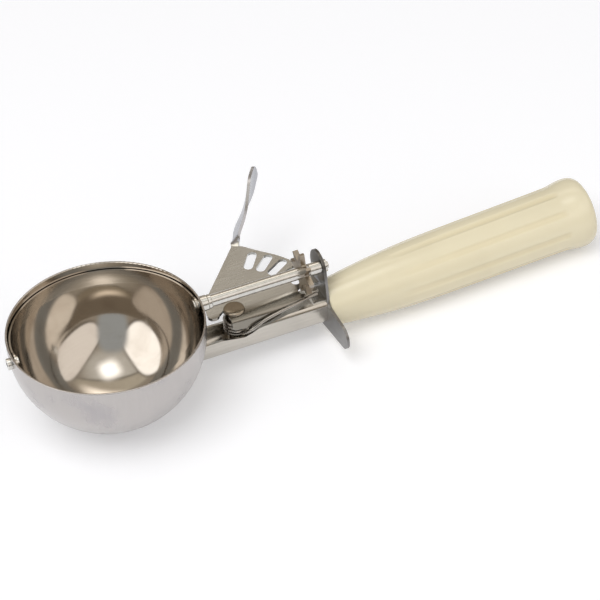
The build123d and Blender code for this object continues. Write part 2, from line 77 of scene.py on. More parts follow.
# Grip's outline: distance from the guard and radius in millimetres, and the slope there
GRIP_OUTLINE = [(-2.0, 8.1, 0.13), (24.5, 11.0, 0.075), (49.0, 11.9, 0.012), (93.0, 12.3, 0.012),
                (100.4, 13.2, 0.03), (104.6, 12.45, -0.62), (106.0, 10.2, -3.0)]
GRIP_SIDES_PER_FLUTE = 26
# Lengths over which a flute sinks in, reaches its full depth and runs out, in millimetres
FLUTE_LEAD_IN, FLUTE_DEEPENING, FLUTE_LEAD_OUT = 12.0, 40.0, 2.4
# Spring, in millimetres from the pivot: foot and knee of the anchored leg, then the leg along the hood
SPRING_FOOT = Vector((6.0, 0.6, -27.8))
SPRING_KNEE = Vector((6.0, 0.6, -14.5))
SPRING_LEG = [(3.6, -6.5, -16.7), (8.8, -6.2, -14.5), (15.0, -5.75, -13.3), (22.0, -5.0, -12.65),
              (30.0, -3.75, -12.2)]
COIL_START = 60.0
# Rounded end of a wire: share of its radius beyond the end, and of its thickness there
WIRE_TIP = [(1.0, 0.05), (0.92, 0.38), (0.71, 0.71), (0.38, 0.92)]


# ---------------------------------------------------------------- sizes and colours a user would change

def tone(name, description, default):
    """Colour property with its default."""
    return FloatVectorProperty(name=name, description=description, subtype="COLOR", size=3, min=0, max=1,
                               default=default)


def length(name, description, default):
    """Length property in metres with its default."""
    return FloatProperty(name=name, description=description, subtype="DISTANCE", unit="LENGTH", min=0,
                         precision=5, default=default)


def share(name, description, default):
    """Plain share from 0 to 1 with its default."""
    return FloatProperty(name=name, description=description, subtype="FACTOR", min=0, max=1, default=default)


class DISHER_PG_metal(PropertyGroup):
    """Colours and gloss of the metal parts."""
    polished: tone("Polished steel", "Colour of the bowl and the sweep blade", (0.53, 0.485, 0.43))
    outside: tone("Bowl outside", "Colour of the bowl's brushed outside", (0.50, 0.475, 0.46))
    thumb: tone("Thumb piece", "Colour of the twisted thumb piece", (0.43, 0.435, 0.46))
    sheet: tone("Lever sheet", "Colour of the lever's flat sector", (0.66, 0.665, 0.645))
    # Painted shade: this dark tone is blended over the lever's front side to stand in for the shade over the
    # hood
    hood: tone("Hood", "Colour of the lever's turned-down hood", (0.27, 0.25, 0.215))
    shank: tone("Shank sheet", "Colour of the shank channel", (0.53, 0.50, 0.45))
    dark_sheet: tone("Guard sheet", "Colour of the guard plate", (0.25, 0.245, 0.24))
    # Painted shade: this dark tone is blended over the guard's upper part to stand in for the shade on its
    # bearing ear
    ear: tone("Guard ear", "Colour of the guard's bearing ear", (0.125, 0.118, 0.108))
    turned: tone("Turned steel", "Colour of the shaft, bush, collar and pins", (0.64, 0.625, 0.59))
    rivet: tone("Rivet", "Colour of the pivot rivet, its sleeve and washer", (0.34, 0.29, 0.225))
    # Painted reflection: the star's dark brown colour stands in for the dark surroundings mirrored in its
    # face
    star: tone("Star steel", "Colour of the star pinion", (0.36, 0.31, 0.25))
    wire: tone("Spring wire", "Colour of the return spring", (0.36, 0.335, 0.30))
    braze: tone("Braze", "Colour of the braze bead", (0.60, 0.44, 0.20))
    mirror_roughness: share("Mirror roughness", "Roughness of the bowl's inside", 0.085)
    satin_roughness: share("Satin roughness", "Roughness of the bowl's outside", 0.24)


class DISHER_PG_grip(PropertyGroup):
    """Shape and colour of the moulded grip."""
    colour: tone("Ivory", "Colour of the grip's plastic", (0.82, 0.74, 0.53))
    roughness: share("Roughness", "Roughness of the grip's plastic", 0.19)
    flutes: IntProperty(name="Flutes", description="Number of grooves round the grip", min=3, default=9)
    flute_turn: FloatProperty(name="Flute turn", description="Turn of the first groove from the underside",
                              subtype="ANGLE", unit="ROTATION", default=math.radians(23.6))
    flute_depth: length("Flute depth", "Depth of a groove near the flared end", 0.42 * MM)
    flute_floor: length("Flute floor", "Half width of a groove's flat floor", 0.45 * MM)
    flute_half: length("Flute half width", "Half width of a groove at the surface", 1.65 * MM)
    flute_start: length("Flute start", "Distance from the guard to the grooves' front", 22.0 * MM)
    flute_end: length("Flute end", "Distance from the guard to the grooves' back", 95.5 * MM)


class DISHER_PG_spring(PropertyGroup):
    """Wire and coil of the return spring."""
    wire: length("Wire radius", "Radius of the spring's wire", 0.6 * MM)
    coil: length("Coil radius", "Radius of the coil's centre line", 3.65 * MM)
    pitch: length("Pitch", "Height of one turn", 1.45 * MM)
    top: FloatProperty(name="Coil top", description="Height of the coil's first turn", subtype="DISTANCE",
                       unit="LENGTH", precision=5, default=-14.5 * MM)
    turns: FloatProperty(name="Turns", description="Number of turns in the coil", min=1, default=3.55)


class DISHER_PG_stage(PropertyGroup):
    """Floor, lamps and surroundings."""
    floor: tone("Floor", "Colour of the floor", (0.86, 0.86, 0.88))
    key: FloatProperty(name="Key lamp", description="Power of the large lamp overhead", unit="POWER",
                       min=0, default=12)
    fill: FloatProperty(name="Fill lamp", description="Power of the lamp in front", unit="POWER",
                        min=0, default=4)
    room: tone("Room", "Colour of the room that the metal mirrors", (0.43, 0.375, 0.31))


# ---------------------------------------------------------------- shader building blocks

def put(tree, kind, **sockets):
    """Adds a shader node; each socket gets a value or a link from another node's socket."""
    node = tree.nodes.new(kind)
    for key, value in sockets.items():
        if key in node.bl_rna.properties and key not in node.inputs:
            setattr(node, key, value)
            continue
        socket = node.inputs[int(key[1:])] if key[0] == "i" and key[1:].isdigit() else node.inputs[key]
        if isinstance(value, bpy.types.NodeSocket):
            tree.links.new(value, socket)
        else:
            socket.default_value = value
    return node


def math_node(tree, operation, *values):
    """Scalar arithmetic node; returns its output."""
    return put(tree, "ShaderNodeMath", operation=operation,
               **{f"i{n}": value for n, value in enumerate(values)}).outputs[0]


def vector_node(tree, operation, *values):
    """Vector arithmetic node."""
    return put(tree, "ShaderNodeVectorMath", operation=operation,
               **{f"i{n}": value for n, value in enumerate(values)})


def remap(tree, value, low, high, out_low=0.0, out_high=1.0):
    """Smooth clamped map from one range to another; returns its output."""
    node = put(tree, "ShaderNodeMapRange", interpolation_type="SMOOTHSTEP")
    for key, item in zip(("Value", "From Min", "From Max", "To Min", "To Max"),
                         (value, low, high, out_low, out_high)):
        if isinstance(item, bpy.types.NodeSocket):
            tree.links.new(item, node.inputs[key])
        else:
            node.inputs[key].default_value = item
    return node.outputs["Result"]


def blend_colours(tree, factor, first, second):
    """Mix of two colours by a factor; returns its output."""
    node = tree.nodes.new("ShaderNodeMix")
    node.data_type = "RGBA"
    for index, item in ((0, factor), (6, first), (7, second)):
        if isinstance(item, bpy.types.NodeSocket):
            tree.links.new(item, node.inputs[index])
        else:
            node.inputs[index].default_value = item
    return node.outputs[2]


def new_group(name, inputs, outputs):
    """Empty shader node group with the given sockets; returns the tree and its two ends."""
    tree = bpy.data.node_groups.new(name, "ShaderNodeTree")
    for title, kind, default in inputs:
        socket = tree.interface.new_socket(name=title, in_out="INPUT", socket_type=kind)
        if default is not None:
            socket.default_value = default
    for title, kind in outputs:
        tree.interface.new_socket(name=title, in_out="OUTPUT", socket_type=kind)
    return tree, tree.nodes.new("NodeGroupInput"), tree.nodes.new("NodeGroupOutput")


def grain_group():
    """Fine drawn or turned lines: noise stretched along one direction."""
    tree, start, end = new_group(
        "Metal Grain",
        [("Vector", "NodeSocketVector", None), ("Stretch", "NodeSocketVector", (1, 1, 1)),
         ("Contrast", "NodeSocketFloat", 1.0)],
        [("Lines", "NodeSocketFloat")])
    place = vector_node(tree, "MULTIPLY", start.outputs["Vector"], start.outputs["Stretch"]).outputs[0]
    fine = put(tree, "ShaderNodeTexNoise", Vector=place, Scale=1.0, Detail=3.0, Roughness=0.65)
    coarse = put(tree, "ShaderNodeTexNoise", Vector=place, Scale=0.21, Detail=2.0, Roughness=0.5)
    wide = math_node(tree, "MULTIPLY", coarse.outputs["Fac"], 0.6)
    both = math_node(tree, "ADD", fine.outputs["Fac"], wide)
    centred = math_node(tree, "SUBTRACT", both, 0.8)
    scaled = math_node(tree, "MULTIPLY", centred, start.outputs["Contrast"])
    tree.links.new(math_node(tree, "ADD", scaled, 0.5), end.inputs["Lines"])
    return tree


def handling_group():
    """Smears and thin scratches from use."""
    tree, start, end = new_group(
        "Handling Marks",
        [("Vector", "NodeSocketVector", None), ("Scale", "NodeSocketFloat", 1.0)],
        [("Smears", "NodeSocketFloat"), ("Scratches", "NodeSocketFloat")])
    place = put(tree, "ShaderNodeVectorMath", operation="SCALE", Scale=start.outputs["Scale"],
                i0=start.outputs["Vector"]).outputs[0]
    smears = put(tree, "ShaderNodeTexNoise", Vector=place, Scale=60.0, Detail=4.0, Roughness=0.55,
                 Distortion=0.8)
    tree.links.new(remap(tree, smears.outputs["Fac"], 0.42, 0.7), end.inputs["Smears"])
    bent = put(tree, "ShaderNodeTexNoise", Vector=place, Scale=90.0, Detail=1.0)
    lean = vector_node(tree, "MULTIPLY_ADD", bent.outputs["Color"], (0.004, 0.004, 0.004), place).outputs[0]
    cells = put(tree, "ShaderNodeTexVoronoi", feature="DISTANCE_TO_EDGE", Vector=lean, Scale=170.0)
    thin = remap(tree, cells.outputs["Distance"], 0.0, 0.018, 1.0, 0.0)
    rare = put(tree, "ShaderNodeTexNoise", Vector=place, Scale=210.0, Detail=1.0)
    shown = math_node(tree, "MULTIPLY", thin, remap(tree, rare.outputs["Fac"], 0.57, 0.66))
    tree.links.new(shown, end.inputs["Scratches"])
    return tree


def edge_group():
    """Mask of the edges that handling has rubbed, which steel() tints by edge_tone: brighter by default,
    partly as wear and partly as a painted highlight.
    """
    tree, start, end = new_group(
        "Rubbed Edges",
        [("Vector", "NodeSocketVector", None), ("Radius", "NodeSocketFloat", 0.25 * MM)],
        [("Mask", "NodeSocketFloat")])
    rounded = put(tree, "ShaderNodeBevel", samples=4, Radius=start.outputs["Radius"])
    flat = tree.nodes.new("ShaderNodeNewGeometry")
    alike = vector_node(tree, "DOT_PRODUCT", rounded.outputs["Normal"],
                        flat.outputs["Normal"]).outputs["Value"]
    turned = remap(tree, alike, 0.9, 0.99, 1.0, 0.0)
    uneven = put(tree, "ShaderNodeTexNoise", Vector=start.outputs["Vector"], Scale=400.0, Detail=3.0)
    patchy = remap(tree, uneven.outputs["Fac"], 0.3, 0.6, 0.35, 1.0)
    tree.links.new(math_node(tree, "MULTIPLY", turned, patchy), end.inputs["Mask"])
    return tree


def bowl_map_group():
    """Way round and way down the bowl, as a vector that noise can be stretched along."""
    tree, start, end = new_group(
        "Bowl Directions", [("Vector", "NodeSocketVector", None), ("Centre", "NodeSocketVector", (0, 0, 0))],
        [("Vector", "NodeSocketVector")])
    arm = vector_node(tree, "SUBTRACT", start.outputs["Vector"], start.outputs["Centre"]).outputs[0]
    unit = vector_node(tree, "NORMALIZE", arm).outputs[0]
    parts = put(tree, "ShaderNodeSeparateXYZ", Vector=unit)
    flat = math_node(tree, "SQRT", math_node(tree, "SUBTRACT", 1.0, math_node(
        tree, "POWER", math_node(tree, "ABSOLUTE", parts.outputs["Z"]), 2.0)))
    safe = math_node(tree, "MAXIMUM", flat, 0.02)
    round_x = math_node(tree, "DIVIDE", parts.outputs["X"], safe)
    round_y = math_node(tree, "DIVIDE", parts.outputs["Y"], safe)
    ways = put(tree, "ShaderNodeCombineXYZ", X=round_x, Y=round_y, Z=parts.outputs["Z"])
    tree.links.new(ways.outputs[0], end.inputs["Vector"])
    return tree


def patch_group():
    """Soft-edged rounded window in one direction, as a mask over the mirrored room."""
    tree, start, end = new_group(
        "Lit Patch",
        [("Look", "NodeSocketVector", None), ("Ahead", "NodeSocketVector", (0, 0, 1)),
         ("Across", "NodeSocketVector", (1, 0, 0)), ("Above", "NodeSocketVector", (0, 1, 0)),
         ("Soft", "NodeSocketFloat", 0.1)],
        [("Mask", "NodeSocketFloat")])
    look = start.outputs["Look"]
    facing = vector_node(tree, "DOT_PRODUCT", look, start.outputs["Ahead"]).outputs["Value"]
    depth = math_node(tree, "MAXIMUM", facing, 0.001)
    cubes = []
    for name in ("Across", "Above"):
        reach = vector_node(tree, "DOT_PRODUCT", look, start.outputs[name]).outputs["Value"]
        ratio = math_node(tree, "ABSOLUTE", math_node(tree, "DIVIDE", reach, depth))
        cubes.append(math_node(tree, "POWER", ratio, 3.0))
    away = math_node(tree, "POWER", math_node(tree, "ADD", *cubes), 1 / 3)
    inner = math_node(tree, "SUBTRACT", 1.0, start.outputs["Soft"])
    outer = math_node(tree, "ADD", 1.0, start.outputs["Soft"])
    inside = remap(tree, away, inner, outer, 1.0, 0.0)
    ahead = math_node(tree, "GREATER_THAN", facing, 0.0)
    tree.links.new(math_node(tree, "MULTIPLY", inside, ahead), end.inputs["Mask"])
    return tree


def grouped(tree, name, **sockets):
    """Places one of the shared groups in a material."""
    node = tree.nodes.new("ShaderNodeGroup")
    node.node_tree = bpy.data.node_groups[name]
    for key, value in sockets.items():
        if isinstance(value, bpy.types.NodeSocket):
            tree.links.new(value, node.inputs[key])
        else:
            node.inputs[key].default_value = value
    return node


def start_material(name):
    """New material with a Principled shader; returns the material, its tree, shader and coordinates."""
    material = bpy.data.materials.new(name)
    material.use_nodes = True
    tree = material.node_tree
    tree.nodes.clear()
    shader = tree.nodes.new("ShaderNodeBsdfPrincipled")
    end = tree.nodes.new("ShaderNodeOutputMaterial")
    tree.links.new(shader.outputs["BSDF"], end.inputs["Surface"])
    place = tree.nodes.new("ShaderNodeTexCoord").outputs["Object"]
    return material, tree, shader, place


def steel(name, colour, roughness, stretch, grain=0.05, depth=0.004, smears=0.06, scratches=0.35,
          edge=0.25 * MM, round_bowl=False, tint=None, streaks=0.35, clouds=0.55, edge_tone=1.18, painted_shade=None):
    """Metal finish: grain, smears, scratches and rubbed edges; the last argument is (axis, start, end,
    colour) of a painted shade.
    """
    material, tree, shader, place = start_material(name)
    shader.inputs["Metallic"].default_value = 1.0
    grain_place = place
    if round_bowl:
        ways = grouped(tree, "Bowl Directions", Vector=place, Centre=tuple(BALL_CENTRE))
        grain_place = ways.outputs["Vector"]
    lines = grouped(tree, "Metal Grain", Vector=grain_place, Stretch=stretch, Contrast=1.0)
    marks = grouped(tree, "Handling Marks", Vector=place, Scale=1.0)
    rubbed = grouped(tree, "Rubbed Edges", Vector=place, Radius=edge).outputs["Mask"]
    base = (*colour, 1.0)
    darker = (*[c * 0.86 for c in (tint or colour)], 1.0)
    brighter = (*[min(1.0, c * 1.18 + 0.04) for c in colour], 1.0)
    # Edge colour is edge_tone times the colour: brighter by default, partly wear and partly a painted
    # highlight; the lever sheet and thumb pass a darker edge_tone
    edged = (*[min(1.0, c * edge_tone) for c in colour], 1.0)
    shaded = blend_colours(tree, math_node(tree, "MULTIPLY", marks.outputs["Smears"], clouds), base, darker)
    streaked = remap(tree, lines.outputs["Lines"], 0.35, 0.75, 0.0, streaks)
    shaded = blend_colours(tree, streaked, shaded, brighter)
    # Painted shade: the colour darkens towards the given tone along one axis
    if painted_shade:
        axis, begin, finish, tint = painted_shade
        along = put(tree, "ShaderNodeSeparateXYZ", Vector=place).outputs[axis]
        shaded = blend_colours(tree, remap(tree, along, begin, finish), shaded, (*tint, 1.0))
    shaded = blend_colours(tree, rubbed, shaded, edged)
    tree.links.new(shaded, shader.inputs["Base Color"])
    rough = math_node(tree, "MULTIPLY_ADD", lines.outputs["Lines"], grain, roughness - grain / 2)
    rough = math_node(tree, "MULTIPLY_ADD", marks.outputs["Smears"], smears, rough)
    rough = math_node(tree, "MULTIPLY_ADD", rubbed, -roughness * 0.3, rough)
    tree.links.new(rough, shader.inputs["Roughness"])
    height = math_node(tree, "MULTIPLY_ADD", marks.outputs["Scratches"], -scratches, lines.outputs["Lines"])
    bump = put(tree, "ShaderNodeBump", Height=height, Distance=depth * MM, Strength=1.0)
    tree.links.new(bump.outputs["Normal"], shader.inputs["Normal"])
    return material


def ivory(name, settings):
    """Glossy moulded plastic, slightly clouded, with its grooves tinted warmer and darker."""
    material, tree, shader, place = start_material(name)
    cloud = put(tree, "ShaderNodeTexNoise", Vector=place, Scale=38.0, Detail=3.0, Roughness=0.5)
    marks = grouped(tree, "Handling Marks", Vector=place, Scale=0.8)
    base = settings.colour
    pale = (*[min(1.0, c * 1.045) for c in base], 1.0)
    warm = (base[0] * 0.96, base[1] * 0.91, base[2] * 0.80, 1.0)
    shaded = blend_colours(tree, remap(tree, cloud.outputs["Fac"], 0.35, 0.68), (*base, 1.0), pale)
    shaded = blend_colours(tree, math_node(tree, "MULTIPLY", marks.outputs["Smears"], 0.10), shaded, warm)
    # The grooves are tinted warmer and darker by their depth
    groove = put(tree, "ShaderNodeAttribute", attribute_name="groove").outputs["Fac"]
    shaded = blend_colours(tree, math_node(tree, "MULTIPLY", groove, 0.45), shaded, warm)
    tree.links.new(shaded, shader.inputs["Base Color"])
    shader.inputs["Roughness"].default_value = settings.roughness
    orange = put(tree, "ShaderNodeTexNoise", Vector=place, Scale=900.0, Detail=2.0)
    bump = put(tree, "ShaderNodeBump", Height=orange.outputs["Fac"], Distance=0.008 * MM, Strength=1.0)
    tree.links.new(bump.outputs["Normal"], shader.inputs["Normal"])
    shader.inputs["IOR"].default_value = 1.49
    return material


def dress(node, *materials):
    """Gives a frame node its material or materials."""
    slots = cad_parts[node].data.materials
    slots.clear()
    for material in materials:
        slots.append(material)


# ---------------------------------------------------------------- mesh building

def add_piece(name, points, faces, material):
    """New smooth-shaded mesh object in the scene."""
    mesh = bpy.data.meshes.new(name)
    mesh.from_pydata(points, [], faces)
    mesh.validate()
    mesh.shade_smooth()
    mesh.materials.append(material)
    piece = bpy.data.objects.new(name, mesh)
    bpy.context.scene.collection.objects.link(piece)
    return piece


def ring_faces(rings, sides):
    """Quads between rings of equal size, closed round, with a cap at each end."""
    faces = []
    for ring in range(rings - 1):
        for side in range(sides):
            after = (side + 1) % sides
            faces.append((ring * sides + side, ring * sides + after,
                          (ring + 1) * sides + after, (ring + 1) * sides + side))
    faces.append(tuple(reversed(range(sides))))
    faces.append(tuple(range((rings - 1) * sides, rings * sides)))
    return faces


def turned(name, outline, place, material, sides=72):
    """Solid turned about the vertical from (radius, height) pairs in millimetres, from top to bottom."""
    points = []
    for radius, height in outline:
        for side in range(sides):
            turn = -2 * math.pi * side / sides
            points.append(place + Vector((radius * math.cos(turn), radius * math.sin(turn), height)) * MM)
    piece = add_piece(name, points, ring_faces(len(outline), sides), material)
    piece.data.set_sharp_from_angle(angle=math.radians(38))
    return piece


def drawn_wire(name, path, radius, material, sides=16):
    """Round wire along a path, its ends closed by rounded tips."""
    ways = [(path[min(n + 1, len(path) - 1)] - path[max(n - 1, 0)]).normalized() for n in range(len(path))]
    stations = [(path[0] - ways[0] * radius * beyond, ways[0], radius * thick) for beyond, thick in WIRE_TIP]
    stations += [(point, way, radius) for point, way in zip(path, ways)]
    stations += [(path[-1] + ways[-1] * radius * beyond, ways[-1], radius * thick)
                 for beyond, thick in reversed(WIRE_TIP)]
    side_way = ways[0].orthogonal().normalized()
    points = []
    for place, way, size in stations:
        side_way = (side_way - way * side_way.dot(way)).normalized()
        up_way = way.cross(side_way)
        for side in range(sides):
            turn = 2 * math.pi * side / sides
            points.append(place + side_way * (size * math.cos(turn)) + up_way * (size * math.sin(turn)))
    return add_piece(name, points, ring_faces(len(stations), sides), material)


def flowing(points, steps, start_way=None, end_way=None):
    """Smooth run through points by cubic arcs, with optional directions at its ends."""
    count = len(points)
    ways = [(points[min(n + 1, count - 1)] - points[max(n - 1, 0)]) / 2 for n in range(count)]
    if start_way is not None:
        ways[0] = start_way.normalized() * (points[1] - points[0]).length
    if end_way is not None:
        ways[-1] = end_way.normalized() * (points[-1] - points[-2]).length
    run = []
    for n in range(count - 1):
        for step in range(steps):
            t = step / steps
            run.append(points[n] * (2 * t ** 3 - 3 * t ** 2 + 1) + ways[n] * (t ** 3 - 2 * t ** 2 + t)
                       + points[n + 1] * (3 * t ** 2 - 2 * t ** 3) + ways[n + 1] * (t ** 3 - t ** 2))
    run.append(points[-1].copy())
    return run


def coil_path(settings, start_degrees, steps_per_turn=48):
    """Centre line of the coil, going down and counter-clockwise from its first turn."""
    path = []
    steps = int(settings.turns * steps_per_turn)
    for step in range(steps + 1):
        turns = settings.turns * step / steps
        angle = math.radians(start_degrees) + 2 * math.pi * turns
        path.append(PIVOT + Vector((settings.coil * math.cos(angle), settings.coil * math.sin(angle),
                                    settings.top - settings.pitch * turns)))
    return path


def grip_radius(along):
    """Radius of the grip's smooth outline at a distance from the guard, in millimetres."""
    for (x0, y0, m0), (x1, y1, m1) in zip(GRIP_OUTLINE, GRIP_OUTLINE[1:]):
        if along <= x1:
            run = x1 - x0
            t = (along - x0) / run
            return (y0 * (2 * t ** 3 - 3 * t ** 2 + 1) + m0 * run * (t ** 3 - 2 * t ** 2 + t)
                    + y1 * (3 * t ** 2 - 2 * t ** 3) + m1 * run * (t ** 3 - t ** 2))
    return GRIP_OUTLINE[-1][1]


def groove_share(along, settings):
    """Share of the full groove depth at a distance from the guard, in millimetres."""
    start, end = settings.flute_start / MM, settings.flute_end / MM
    deeper = 0.5 + 0.5 * ease((along - start) / FLUTE_DEEPENING)
    return deeper * ease((along - start) / FLUTE_LEAD_IN) * ease((end - along) / FLUTE_LEAD_OUT)


def ease(value):
    """Smooth step from 0 to 1."""
    value = min(1.0, max(0.0, value))
    return value * value * (3 - 2 * value)


# ---------------------------------------------------------------- operators

class DISHER_OT_finishes(Operator):
    """Build the shared shader groups: grain, marks, edges, the bowl's directions and lit patches"""
    bl_idname = "disher.finishes"
    bl_label = "Shared finishes"

    def execute(self, context):
        for make in (grain_group, handling_group, edge_group, bowl_map_group, patch_group):
            make()
        return {"FINISHED"}


class DISHER_OT_bowl(Operator):
    """Finish the bowl, its bush and pin, the sweep blade and the braze"""
    bl_idname = "disher.bowl"
    bl_label = "Bowl and blade"

    def execute(self, context):
        metal = context.scene.disher_metal
        inside = steel("Bowl inside", metal.polished, metal.mirror_roughness, (2.2, 2.2, 60.0), grain=0.02,
                       depth=0.0003, smears=0.04, scratches=0.5, round_bowl=True, tint=(0.49, 0.43, 0.37),
                       streaks=0.08)
        outside = steel("Bowl outside", metal.outside, metal.satin_roughness, (95.0, 95.0, 3.0), grain=0.10,
                        depth=0.0035, smears=0.08, scratches=0.8, round_bowl=True, tint=(0.47, 0.45, 0.47),
                        streaks=0.14)
        dress("bowl", inside, outside)
        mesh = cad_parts["bowl"].data
        for face in mesh.polygons:
            face.material_index = int((face.center - BALL_CENTRE).length > BALL_WALL_MIDDLE)
        dress("sweep_blade", steel("Blade strap", metal.polished, 0.16, (2.0, 2.0, 70.0), grain=0.06,
                                   depth=0.003, round_bowl=True))
        pin = steel("Pin steel", metal.turned, 0.22, (2600.0, 60.0, 60.0), grain=0.12, depth=0.006)
        for node in ("shaft_bush", "tip_pin"):
            dress(node, pin)
        dress("braze_fillet", steel("Braze bead", metal.braze, 0.38, (500.0, 500.0, 500.0), grain=0.2,
                                    depth=0.03, tint=(0.30, 0.22, 0.12)))
        return {"FINISHED"}


class DISHER_OT_shaft(Operator):
    """Finish the blade shaft with its collar and washer, and the star pinion"""
    bl_idname = "disher.shaft"
    bl_label = "Shaft and star"

    def execute(self, context):
        metal = context.scene.disher_metal
        turned = steel("Turned shaft", metal.turned, 0.20, (1900.0, 45.0, 45.0), grain=0.10, depth=0.004)
        for node in ("blade_shaft", "shaft_collar", "shaft_end_washer"):
            dress(node, turned)
        # The star's dark brown face is a painted reflection of dark surroundings
        dress("star_pinion", steel("Star face", metal.star, 0.30, (300.0, 700.0, 700.0), grain=0.16,
                                   depth=0.01, tint=(0.30, 0.25, 0.20)))
        return {"FINISHED"}


class DISHER_OT_lever(Operator):
    """Finish the thumb lever and its rivet, sleeve and washer"""
    bl_idname = "disher.lever"
    bl_label = "Lever and pivot"

    def execute(self, context):
        metal = context.scene.disher_metal
        # The lever sheet darkens towards its front side, a painted shade over the hood
        sheet = steel("Lever sheet", metal.sheet, 0.24, (160.0, 900.0, 160.0), grain=0.08, depth=0.003,
                      smears=0.05, scratches=0.12, edge_tone=0.62, streaks=0.22, clouds=0.32,
                      painted_shade=(*HOOD_SHADE_SPAN, metal.hood))
        thumb = steel("Thumb sheet", metal.thumb, 0.24, (500.0, 120.0, 500.0), grain=0.10, depth=0.004,
                      smears=0.10, edge_tone=0.75)
        dress("thumb_lever", sheet, thumb)
        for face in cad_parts["thumb_lever"].data.polygons:
            face.material_index = int(face.center.y > THUMB_START)
        pivot = steel("Rivet steel", metal.rivet, 0.20, (160.0, 160.0, 1500.0), grain=0.10, depth=0.006,
                      tint=(0.22, 0.17, 0.12), edge=0.5 * MM)
        for node in ("pivot_sleeve", "pivot_washer"):
            dress(node, pivot)
        rivet = turned("headed_rivet", RIVET_OUTLINE, PIVOT, pivot)
        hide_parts("pivot_rivet")
        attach(rivet, "frame")
        return {"FINISHED"}


class DISHER_OT_shank(Operator):
    """Finish the shank channel, the guard plate and the tang"""
    bl_idname = "disher.shank"
    bl_label = "Shank and guard"

    def execute(self, context):
        metal = context.scene.disher_metal
        dress("shank", steel("Shank sheet", metal.shank, 0.21, (40.0, 1400.0, 1400.0), grain=0.09,
                             depth=0.004))
        # The guard sheet darkens towards the top of its ear, a painted shade
        dress("guard_plate", steel("Guard sheet", metal.dark_sheet, 0.30, (600.0, 600.0, 70.0), grain=0.12,
                                   depth=0.006, tint=(0.22, 0.21, 0.21), painted_shade=(*EAR_SHADE_SPAN, metal.ear)))
        tang = steel("Tang steel", metal.turned, 0.32, (900.0, 90.0, 90.0), grain=0.1, depth=0.006)
        for node in ("tang", "tang_pin"):
            dress(node, tang)
        return {"FINISHED"}


class DISHER_OT_grip(Operator):
    """Mould the fluted ivory grip over the tang"""
    bl_idname = "disher.grip"
    bl_label = "Grip"

    def execute(self, context):
        settings = context.scene.disher_grip
        sides = settings.flutes * GRIP_SIDES_PER_FLUTE
        stations = [-2.0 + 1.0 * n for n in range(95)] + [93.0 + 0.5 * n for n in range(1, 23)]
        stations += [104.35, 104.7, 105.0, 105.3, 105.55, 105.75, 105.9, 106.0]
        place = Matrix.Translation(GRIP_FRONT) @ Matrix.Rotation(math.pi / 2 - GRIP_TILT, 4, "Y")
        points, grooves = [], []
        for along in stations:
            shown = groove_share(along, settings)
            for side in range(sides):
                turn = 2 * math.pi * side / sides
                off = (turn - settings.flute_turn) * settings.flutes / (2 * math.pi)
                off = abs((off + 0.5) % 1.0 - 0.5) * 2 * math.pi / settings.flutes * grip_radius(along) * MM
                slope = (off - settings.flute_floor) / (settings.flute_half - settings.flute_floor)
                groove = shown * (1 - ease(slope))
                radius = grip_radius(along) * MM - settings.flute_depth * groove
                points.append(place @ Vector((radius * math.cos(turn), radius * math.sin(turn), along * MM)))
                points[-1].x = max(points[-1].x, GRIP_FRONT.x)
                grooves.append(groove)
        plastic = ivory("Ivory plastic", settings)
        grip = add_piece("moulded_grip", points, ring_faces(len(stations), sides), plastic)
        depth = grip.data.attributes.new("groove", "FLOAT", "POINT")
        depth.data.foreach_set("value", grooves)
        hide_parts("grip")
        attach(grip, "frame")
        return {"FINISHED"}


class DISHER_OT_spring(Operator):
    """Wind the return spring: anchored leg, coil and the leg on the hood"""
    bl_idname = "disher.spring"
    bl_label = "Return spring"

    def execute(self, context):
        settings = context.scene.disher_spring
        wire = steel("Spring wire", context.scene.disher_metal.wire, 0.26, (700.0, 700.0, 700.0), grain=0.1,
                     depth=0.004, tint=(0.30, 0.27, 0.24))
        coil = coil_path(settings, COIL_START)
        foot = PIVOT + SPRING_FOOT * MM
        knee = PIVOT + SPRING_KNEE * MM
        bend = flowing([knee, coil[0]], 12, Vector((-0.4, 0.9, 0.35)), coil[1] - coil[0])
        anchored = [foot.lerp(knee, n / 10) for n in range(10)] + bend
        leg = [coil[-1]] + [PIVOT + Vector(point) * MM for point in SPRING_LEG]
        leg = flowing(leg, 14, coil[-1] - coil[-2], Vector((1.0, 0.09, 0.05)))
        fixed = drawn_wire("spring_anchor", anchored, settings.wire, wire)
        turns = drawn_wire("spring_coil", coil, settings.wire, wire)
        moving = drawn_wire("spring_leg", leg, settings.wire, wire)
        for piece in (fixed, turns, moving):
            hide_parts("return_spring")
        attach(fixed, "frame")
        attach(moving, "lever")
        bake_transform(turns)
        return {"FINISHED"}


class DISHER_OT_stage(Operator):
    """Set up the pale floor, the lamps, the mirrored room and the camera"""
    bl_idname = "disher.stage"
    bl_label = "Stage"

    def execute(self, context):
        settings = context.scene.disher_stage
        make_world()
        make_floor(settings)
        make_room(settings)
        make_lamps(settings)
        make_camera()
        context.scene.view_settings.view_transform = "Standard"
        return {"FINISHED"}


# ---------------------------------------------------------------- stage pieces

FLOOR_LEAN = math.radians(2.87)
FLOOR_POINT = Vector((0.0017, 0.0, -0.03806))
FLOOR_HALF = 3.0
FLOOR_GLOW = 0.26
WORLD_LIGHT = 0.42
ROOM_RADIUS = 2.6
LAMP_DISTANCE = 1.5
LAMP_AIM = Vector((0.05, 0.0, 0.0))


def seen_directly(tree):
    """1 for camera, glossy and transmission rays, 0 for the rest."""
    path = tree.nodes.new("ShaderNodeLightPath")
    first = math_node(tree, "MAXIMUM", path.outputs["Is Camera Ray"], path.outputs["Is Glossy Ray"])
    return math_node(tree, "MAXIMUM", first, path.outputs["Is Transmission Ray"])


